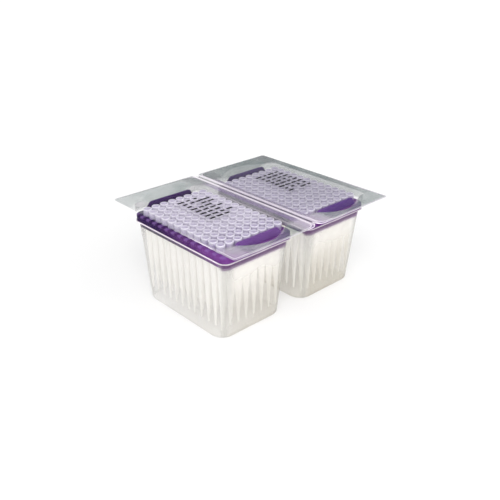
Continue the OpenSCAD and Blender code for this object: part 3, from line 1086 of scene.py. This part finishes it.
# Noises: features for each metre, detail, and stretch along each axis
EVEN = (1, 1, 1)
NOISES = {
    "sheet mottle": (45, 3.0, EVEN),
    "draw marks": (160, 3.0, (1, 1, 0.05)),
    "film waves": (22, 1.0, EVEN),
    "film grain": (90, 3.0, EVEN),
    "flow": (60, 3.0, EVEN),
    "streaks": (130, 3.0, (1, 1, 0.25)),
    "plastic grain": (1800, 2.0, EVEN),
    "tip flow": (120, 3.0, (1, 1, 0.1)),
    "ink patches": (700, 3.0, EVEN),
    "floor grain": (30, 3.0, EVEN),
}
# Most of a noise lies between these
SPREAD = (0.3, 0.7)
# Lower and upper end of what a noise makes uneven: a share of the haze, and the roughness
SHEET_HAZE = (0.85, 1.15)
FILM_HAZE = (0.85, 1.2)
SHEET_GLOSS = (0.08, 0.2)
FILM_GLOSS = (0.1, 0.22)
DECK_GLOSS = (0.3, 0.42)
TIP_GLOSS = (0.28, 0.42)
INK_GLOSS = (0.4, 0.6)
# How fast a clear sheet grows hazier as the look along it grows flatter
GRAZING_POWER = 4.0


def finish_material(name):
    """An empty node material with its output and one Principled shader."""
    material = bpy.data.materials.new(name)
    material.use_nodes = True
    tree = material.node_tree
    tree.nodes.clear()
    shader = put(tree, "ShaderNodeBsdfPrincipled")
    put(tree, "ShaderNodeOutputMaterial", {"Surface": shader.outputs[0]})
    return material, tree, shader


def noise(tree, name):
    """A noise of the table, fixed to the piece."""
    scale, detail, stretch = NOISES[name]
    spot = put(tree, "ShaderNodeTexCoord").outputs["Object"]
    mapped = put(tree, "ShaderNodeMapping", {"Vector": spot, "Scale": stretch}).outputs[0]
    made = put(tree, "ShaderNodeTexNoise", {"Vector": mapped, "Scale": scale, "Detail": detail})
    return Number(tree, made.outputs["Fac"])


def attribute(tree, name):
    """A value that the mesh carries."""
    return Number(tree, put(tree, "ShaderNodeAttribute", attribute_name=name).outputs["Fac"])


def from_centre(x):
    """Distance from the middle of the own half, more to the right."""
    return x - x.maths("SIGN") * CENTRE_X


def end_lean():
    """Lean of a tub's end wall, for each length of height."""
    return bpy.context.scene.pack_tray.end_draft / ledge_top()


def zones(tree, spans):
    """A share for each span of a table, by its name."""
    spot = put(tree, "ShaderNodeTexCoord").outputs["Object"]
    axes = [Number(tree, axis)
            for axis in put(tree, "ShaderNodeSeparateXYZ", {0: spot}).outputs]
    used = dict.fromkeys(way for way, *span in spans.values())
    ways = {way: MEASURES[way](*axes) for way in used}
    return SimpleNamespace(**{name: ways[way].ramp(*span) for name, (way, *span) in spans.items()})


def bump(tree, shader, height, strength, depth):
    """Fine relief from a height."""
    relief = put(tree, "ShaderNodeBump", {"Height": height, "Strength": strength,
                                          "Distance": depth})
    feed(shader, {"Normal": relief.outputs[0]})


def see_through(tree, shader, haze, grazing, bends):
    """Opacity of a clear sheet: haze, more of it at a grazing look, and at bends and edges."""
    facing = Number(tree, put(tree, "ShaderNodeLayerWeight").outputs["Facing"])
    skim = facing.maths("POWER", GRAZING_POWER) * grazing
    feed(shader, {"Alpha": (haze + skim).maths("ADD", bends, clamp=True)})


def clear_sheet(look):
    """Formed clear sheet: grey haze in the flange with painted shade, recesses cloudy with painted
    sheen and shade, clear walls, pale bends with painted highlight and glow.
    """
    material, tree, shader = finish_material("Clear formed sheet")
    at = zones(tree, SHEET_SPANS)
    stretch = attribute(tree, "stretch")
    # The flange is hazier towards the right and the back, which paints the shade of the floor seen
    # through it, and has a clear strip at the far left
    flange = at.right.between(look.flange_haze, look.flange_haze_and_shade_right)
    flange = flange * at.inwards.between(look.near_shade_share, 1)
    flange = flange * at.past_strip.larger(at.far).between(look.strip_share, 1)
    # Near the tear line the flange takes the web's lighter violet, painted light over the shaded gap
    past_web = at.past_web.larger(at.past_rim)
    flange = past_web.between(look.web_lit_haze, flange)
    # Over the deck's rim, the right half's walls at its right and back are as grey as the flange,
    # painted shade, and the left half's walls beside the web and at the back are pale, painted light
    # over the shaded rim
    outer = at.side_wall.larger(at.far_wall) * at.over_rim
    wall = at.past_seam.between(look.seam_wall_light_haze, look.wall_haze_and_shade_right)
    wall = outer.between(look.cavity_haze, wall)
    # The near recesses are pale, partly painted sheen; the far recess is grey, painted shade
    recess = at.right.between(look.far_recess_shade_haze, look.far_recess_shade_haze_right)
    recess = at.far_half.between(look.recess_sheen_haze, recess)
    tub = at.up_tub.between(look.tub_low_haze, look.tub_haze)
    haze = at.flange.between(stretch.between(at.over_ledge.between(tub, wall), recess), flange)
    warm = at.warm * at.up_end.between(1, look.warm_top)
    colour = at.over_ledge.paint(
        warm.paint(look.tub, look.tub_warm),
        outer.paint(look.tub, at.past_seam.paint(look.seam_wall_light, look.sheet)))
    colour = stretch.paint(colour, at.far_half.paint(look.recess, look.sheet))
    colour = at.flange.paint(colour, past_web.paint(look.web_lit_violet, look.sheet))
    # The ends of the tubs are paler, and their upper part glows with painted light
    below = at.end * at.over_ledge.rest()
    corner = at.corner * below
    pale = at.end * at.up_end.between(look.end_low_haze, look.end_haze) * at.under_skirt
    haze = haze.larger(pale)
    painted_glow = pale * at.up_glow * look.end_painted_glow * corner.ramp(0, 0.5, 1, 0)
    # Grey corners painted as shade, the deck's violet painted as its reflection in the bend under
    # the ledge, the tear line's painted shadow and the painted highlight lines beside it
    for part, cover, colour_there in (
            (corner, look.corner_shade_haze, look.tub_corner_shade),
            (at.under_rim * below, look.violet_reflection_haze, look.ghost),
            (at.flange * at.score_shadow, look.score_shadow_haze, look.score_shadow),
            (at.flange * at.bead_start * at.bead_stop, look.highlight_line_haze, look.bend)):
        haze = haze.larger(part * cover)
        colour = part.paint(colour, colour_there)
    # The flange's pale cut edge, partly painted highlight, shows less towards the back
    fade = (at.flange * at.edge_fade).larger(at.end * look.end_fade)
    bend = attribute(tree, "bend") * fade.rest()
    mottle = noise(tree, "sheet mottle")
    see_through(tree, shader, haze * mottle.ramp(*SPREAD, *SHEET_HAZE),
                at.over_ledge.between(look.tub_grazing, look.wall_grazing),
                bend * look.bend_haze_and_highlight)
    # Bends and cut edges are whitened, partly painted highlight, and glow with painted light
    feed(shader, {"Base Color": bend.paint(colour, look.bend),
                  "Roughness": mottle.ramp(*SPREAD, *SHEET_GLOSS),
                  "Emission Color": bend.paint(look.end_painted_light, look.bend_painted_light),
                  "Emission Strength": painted_glow.larger(bend * look.bend_painted_glow)})
    bump(tree, shader, noise(tree, "draw marks"), strength=0.12, depth=0.4 * MM)
    return material


def seal_sheet(look):
    """Sealed film: light haze with painted shade and sheen, slight waves and a pale cut edge, partly
    painted highlight.
    """
    material, tree, shader = finish_material("Sealed film")
    at = zones(tree, FILM_SPANS)
    # The haze, and with it the painted shade, grows towards the right and the back
    haze = at.right.between(look.film_haze, look.film_haze_and_shade_right)
    haze = haze * at.inwards.between(look.film_near_share, 1)
    # Over the left tips it has a pale painted sheen. Beside the finger recesses it is pale at the
    # near end, a painted sheen, and grey at the far end, painted shade.
    left_tips_sheen = at.left_tips * at.middle_rows
    near_recess_sheen = at.beside * at.near * at.cloud_fade
    far = at.beside * at.far * at.far_right.between(look.far_haze, look.far_haze_and_shade_right)
    haze = haze.larger(left_tips_sheen * look.left_tips_sheen_haze).larger(near_recess_sheen * look.near_recess_sheen_haze).larger(far)
    colour = near_recess_sheen.paint(left_tips_sheen.paint(look.film, look.left_tips_sheen), look.recess)
    # The film's pale cut edge, partly painted highlight, shows less towards the back, but not beside
    # the tear line
    bend = attribute(tree, "bend") * (at.past_seam * at.edge_fade).rest()
    grain = noise(tree, "film grain")
    see_through(tree, shader, haze * grain.ramp(*SPREAD, *FILM_HAZE), look.film_grazing,
                bend * look.edge_haze_and_highlight)
    feed(shader, {"Base Color": bend.paint(colour, look.bend),
                  "Roughness": grain.ramp(*SPREAD, *FILM_GLOSS)})
    bump(tree, shader, noise(tree, "film waves"), strength=0.25, depth=2 * MM)
    return material


def violet_plastic(look):
    """Moulded violet plastic: deep colour, painted light at the near end, on the tabs and up the
    rim, soft gloss, fine flow marks.
    """
    material, tree, shader = finish_material("Violet moulded plastic")
    at = zones(tree, DECK_SPANS)
    # Painted light: lighter in streaks towards the near end, lighter up the rim and on the right
    # tabs
    painted_light = at.near * noise(tree, "streaks").ramp(0.35, 0.65, 0.75, 1.25)
    painted_light = painted_light.maths("ADD", at.deepening, clamp=True)
    painted_light = painted_light.maths("ADD", at.over_deck * at.right * look.right_tab_painted_light, clamp=True)
    lit_tab = at.right.paint(look.lit_tab, look.lit_tab_right)
    colour = painted_light.paint(look.violet, at.over_deck.paint(look.lit_orchid, lit_tab))
    mirror = at.mirrored * at.left_rim * at.rim_top
    feed(shader, {"Base Color": mirror.paint(colour, look.mirror),
                  "Roughness": noise(tree, "flow").ramp(*SPREAD, *DECK_GLOSS),
                  "Specular IOR Level": 0.05})
    bump(tree, shader, noise(tree, "plastic grain"), strength=0.08, depth=0.2 * MM)
    return material


def milky_plastic(look):
    """Natural tip plastic: milky with a painted glow; over the deck lavender, with painted shade
    towards the collars' feet.
    """
    material, tree, shader = finish_material("Milky tip plastic")
    at = zones(tree, TIP_SPANS)
    flow = noise(tree, "tip flow")
    body = flow.ramp(*SPREAD).paint(look.milk, look.milk_deep)
    # Painted shade: the collars darken towards their feet; the whole tip glows with painted light
    collar = at.up_collar.paint(look.collar_foot_shade, look.collar)
    feed(shader, {"Base Color": at.over_skirt.paint(body, collar),
                  "Roughness": flow.ramp(*SPREAD, *TIP_GLOSS),
                  "Emission Color": at.over_skirt.paint(look.milk_painted_light, collar),
                  "Emission Strength": at.over_skirt.between(look.milk_painted_glow, look.collar_painted_glow)})
    bump(tree, shader, flow, strength=0.05, depth=0.3 * MM)
    return material


def print_ink(look):
    """Dark ink, a little uneven."""
    material, tree, shader = finish_material("Print ink")
    patches = noise(tree, "ink patches")
    feed(shader, {"Base Color": patches.ramp(0.45, 0.75).paint(look.ink, look.thin_ink),
                  "Roughness": patches.ramp(*SPREAD, *INK_GLOSS), "Specular IOR Level": 0.08})
    return material


def seen_only(tree):
    """One where a surface is seen straight, in a gloss or through glass, and nought for light."""
    path = put(tree, "ShaderNodeLightPath").outputs
    straight = Number(tree, path["Is Camera Ray"]).larger(path["Is Glossy Ray"])
    return straight.larger(path["Is Transmission Ray"])


def floor_paint(look, stage):
    """Pale floor that keeps shadows, lifted to white where it is seen."""
    material, tree, shader = finish_material("Studio floor")
    spot = put(tree, "ShaderNodeTexCoord").outputs["Object"]
    away = put(tree, "ShaderNodeVectorMath", {0: spot}, operation="LENGTH").outputs["Value"]
    lift = Number(tree, away).ramp(stage.floor_near, stage.floor_far, stage.floor_lift,
                                   stage.floor_lift_far)
    feed(shader, {"Base Color": noise(tree, "floor grain").paint(look.floor, look.floor_dim),
                  "Roughness": 0.9, "Emission Color": (1, 1, 1, 1),
                  "Emission Strength": seen_only(tree) * lift})
    return material


# ---------------------------------------------------------------- operators


class PACK_OT_tray(bpy.types.Operator):
    """Build the clear tray with its two tubs and the tear line"""

    bl_idname = "pack.tray"
    bl_label = "Clear Tray"

    def execute(self, context):
        mesh = build_tray(clear_sheet(context.scene.pack_finish))
        show("clear_tray", mesh, ["blister_tray"], crease=50)
        return {"FINISHED"}


class PACK_OT_films(bpy.types.Operator):
    """Build the sealed film over each half"""

    bl_idname = "pack.films"
    bl_label = "Sealed Films"

    def execute(self, context):
        material = seal_sheet(context.scene.pack_finish)
        for name, side in SIDES.items():
            show(f"seal_film_{name}", build_film(side, material),
                 [f"lid_film_{name}"])
        return {"FINISHED"}


class PACK_OT_print(bpy.types.Operator):
    """Print plain dashes on each film"""

    bl_idname = "pack.print"
    bl_label = "Print"

    def execute(self, context):
        material = print_ink(context.scene.pack_finish)
        tree = print_tree()
        for name, side in SIDES.items():
            show(f"film_print_{name}", build_print(side, tree, material))
        return {"FINISHED"}


class PACK_OT_decks(bpy.types.Operator):
    """Build the two rack decks with their holes, skirts and grip tabs"""

    bl_idname = "pack.decks"
    bl_label = "Rack Decks"

    def execute(self, context):
        material = violet_plastic(context.scene.pack_finish)
        tree = panel_tree()
        for name, side in SIDES.items():
            show(f"rack_{name}", build_deck(side, tree, material),
                 [f"rack_deck_{name}"])
        return {"FINISHED"}


class PACK_OT_tips(bpy.types.Operator):
    """Fill both rack decks with tips"""

    bl_idname = "pack.tips"
    bl_label = "Tips"

    def execute(self, context):
        material = milky_plastic(context.scene.pack_finish)
        tree = tips_tree()
        for name, side in SIDES.items():
            rows = [f"tips_{name}_row_{row:02d}" for row in range(1, ROWS + 1)]
            show(f"tips_{name}", fill_rack(side, tree, material), rows, crease=60)
        return {"FINISHED"}


def face(thing, spot, target):
    """Puts a camera or a lamp in the scene, turned towards a target."""
    holder = bpy.data.objects.new(thing.name, thing)
    holder.location = spot
    holder.rotation_euler = (Vector(target) - Vector(spot)).to_track_quat("-Z", "Y").to_euler()
    bpy.context.scene.collection.objects.link(holder)
    return holder


def add_lamp(name, watts, size, spot, target):
    """A square soft lamp that faces a target."""
    lamp = bpy.data.lights.new(name, "AREA")
    lamp.energy = watts
    lamp.size = size
    face(lamp, spot, target)


def add_camera(stage):
    """The camera, from its turn, height angle and distance."""
    lens = bpy.data.cameras.new("Camera")
    lens.lens = stage.lens
    lens.clip_start = 0.01
    level = math.cos(stage.elevation)
    back = Vector((math.sin(stage.azimuth) * level, -math.cos(stage.azimuth) * level,
                   math.sin(stage.elevation)))
    spot = Vector(stage.target) + back * stage.distance
    bpy.context.scene.camera = face(lens, spot, stage.target)


def add_surroundings(stage):
    """Even pale surroundings: white where they are seen, softer as light."""
    world = bpy.data.worlds.new("Studio")
    world.use_nodes = True
    tree = world.node_tree
    tree.nodes.clear()
    strength = seen_only(tree).between(stage.ambient, 1.0)
    shader = put(tree, "ShaderNodeBackground", {"Color": (1, 1, 1, 1), "Strength": strength})
    put(tree, "ShaderNodeOutputWorld", {"Surface": shader.outputs[0]})
    bpy.context.scene.world = world


class PACK_OT_stage(bpy.types.Operator):
    """Build the camera, the lamps, the surroundings and the floor"""

    bl_idname = "pack.stage"
    bl_label = "Stage"

    def execute(self, context):
        scene = context.scene
        stage = scene.pack_stage
        add_camera(stage)
        add_lamp("Key", stage.key_power, stage.key_size, stage.key_place, stage.lit)
        add_lamp("Fill", stage.fill_power, stage.fill_size, stage.fill_place, stage.lit)
        add_surroundings(stage)
        bpy.ops.mesh.primitive_plane_add(size=stage.floor_size, location=(0, 0, -HAIR))
        floor = context.object
        floor.name = "studio_floor"
        floor.data.materials.append(floor_paint(scene.pack_finish, stage))
        scene.view_settings.view_transform = "Standard"
        # A look across the pack passes many clear faces
        scene.cycles.transparent_max_bounces = 40
        return {"FINISHED"}


BUILD_ORDER = (PACK_OT_stage, PACK_OT_tray, PACK_OT_decks, PACK_OT_tips, PACK_OT_films,
               PACK_OT_print)
SETTINGS = {"pack_tips": TipSizes, "pack_deck": DeckSizes, "pack_tray": TraySizes,
            "pack_film": FilmSizes, "pack_finish": Finishes, "pack_stage": StageSizes}


class PACK_PT_panel(bpy.types.Panel):
    """Buttons that build the pack, and its sizes and finishes"""

    bl_idname = "PACK_PT_panel"
    bl_label = "Tip Pack"
    bl_space_type = "VIEW_3D"
    bl_region_type = "UI"
    bl_category = "Tip Pack"

    def draw(self, context):
        for operator in BUILD_ORDER:
            self.layout.operator(operator.bl_idname)
        for label, group in SETTINGS.items():
            box = self.layout.box()
            box.label(text=group.__name__)
            for key in group.__annotations__:
                box.prop(getattr(context.scene, label), key)


CLASSES = (*SETTINGS.values(), *BUILD_ORDER, PACK_PT_panel)


def register():
    for kind in CLASSES:
        bpy.utils.register_class(kind)
    for label, group in SETTINGS.items():
        setattr(bpy.types.Scene, label, PointerProperty(type=group))


def unregister():
    for label in SETTINGS:
        delattr(bpy.types.Scene, label)
    for kind in reversed(CLASSES):
        bpy.utils.unregister_class(kind)


def main():
    register()
    for operator in BUILD_ORDER:
        family, name = operator.bl_idname.split(".")
        getattr(getattr(bpy.ops, family), name)()


if __name__ == "__main__":
    main()
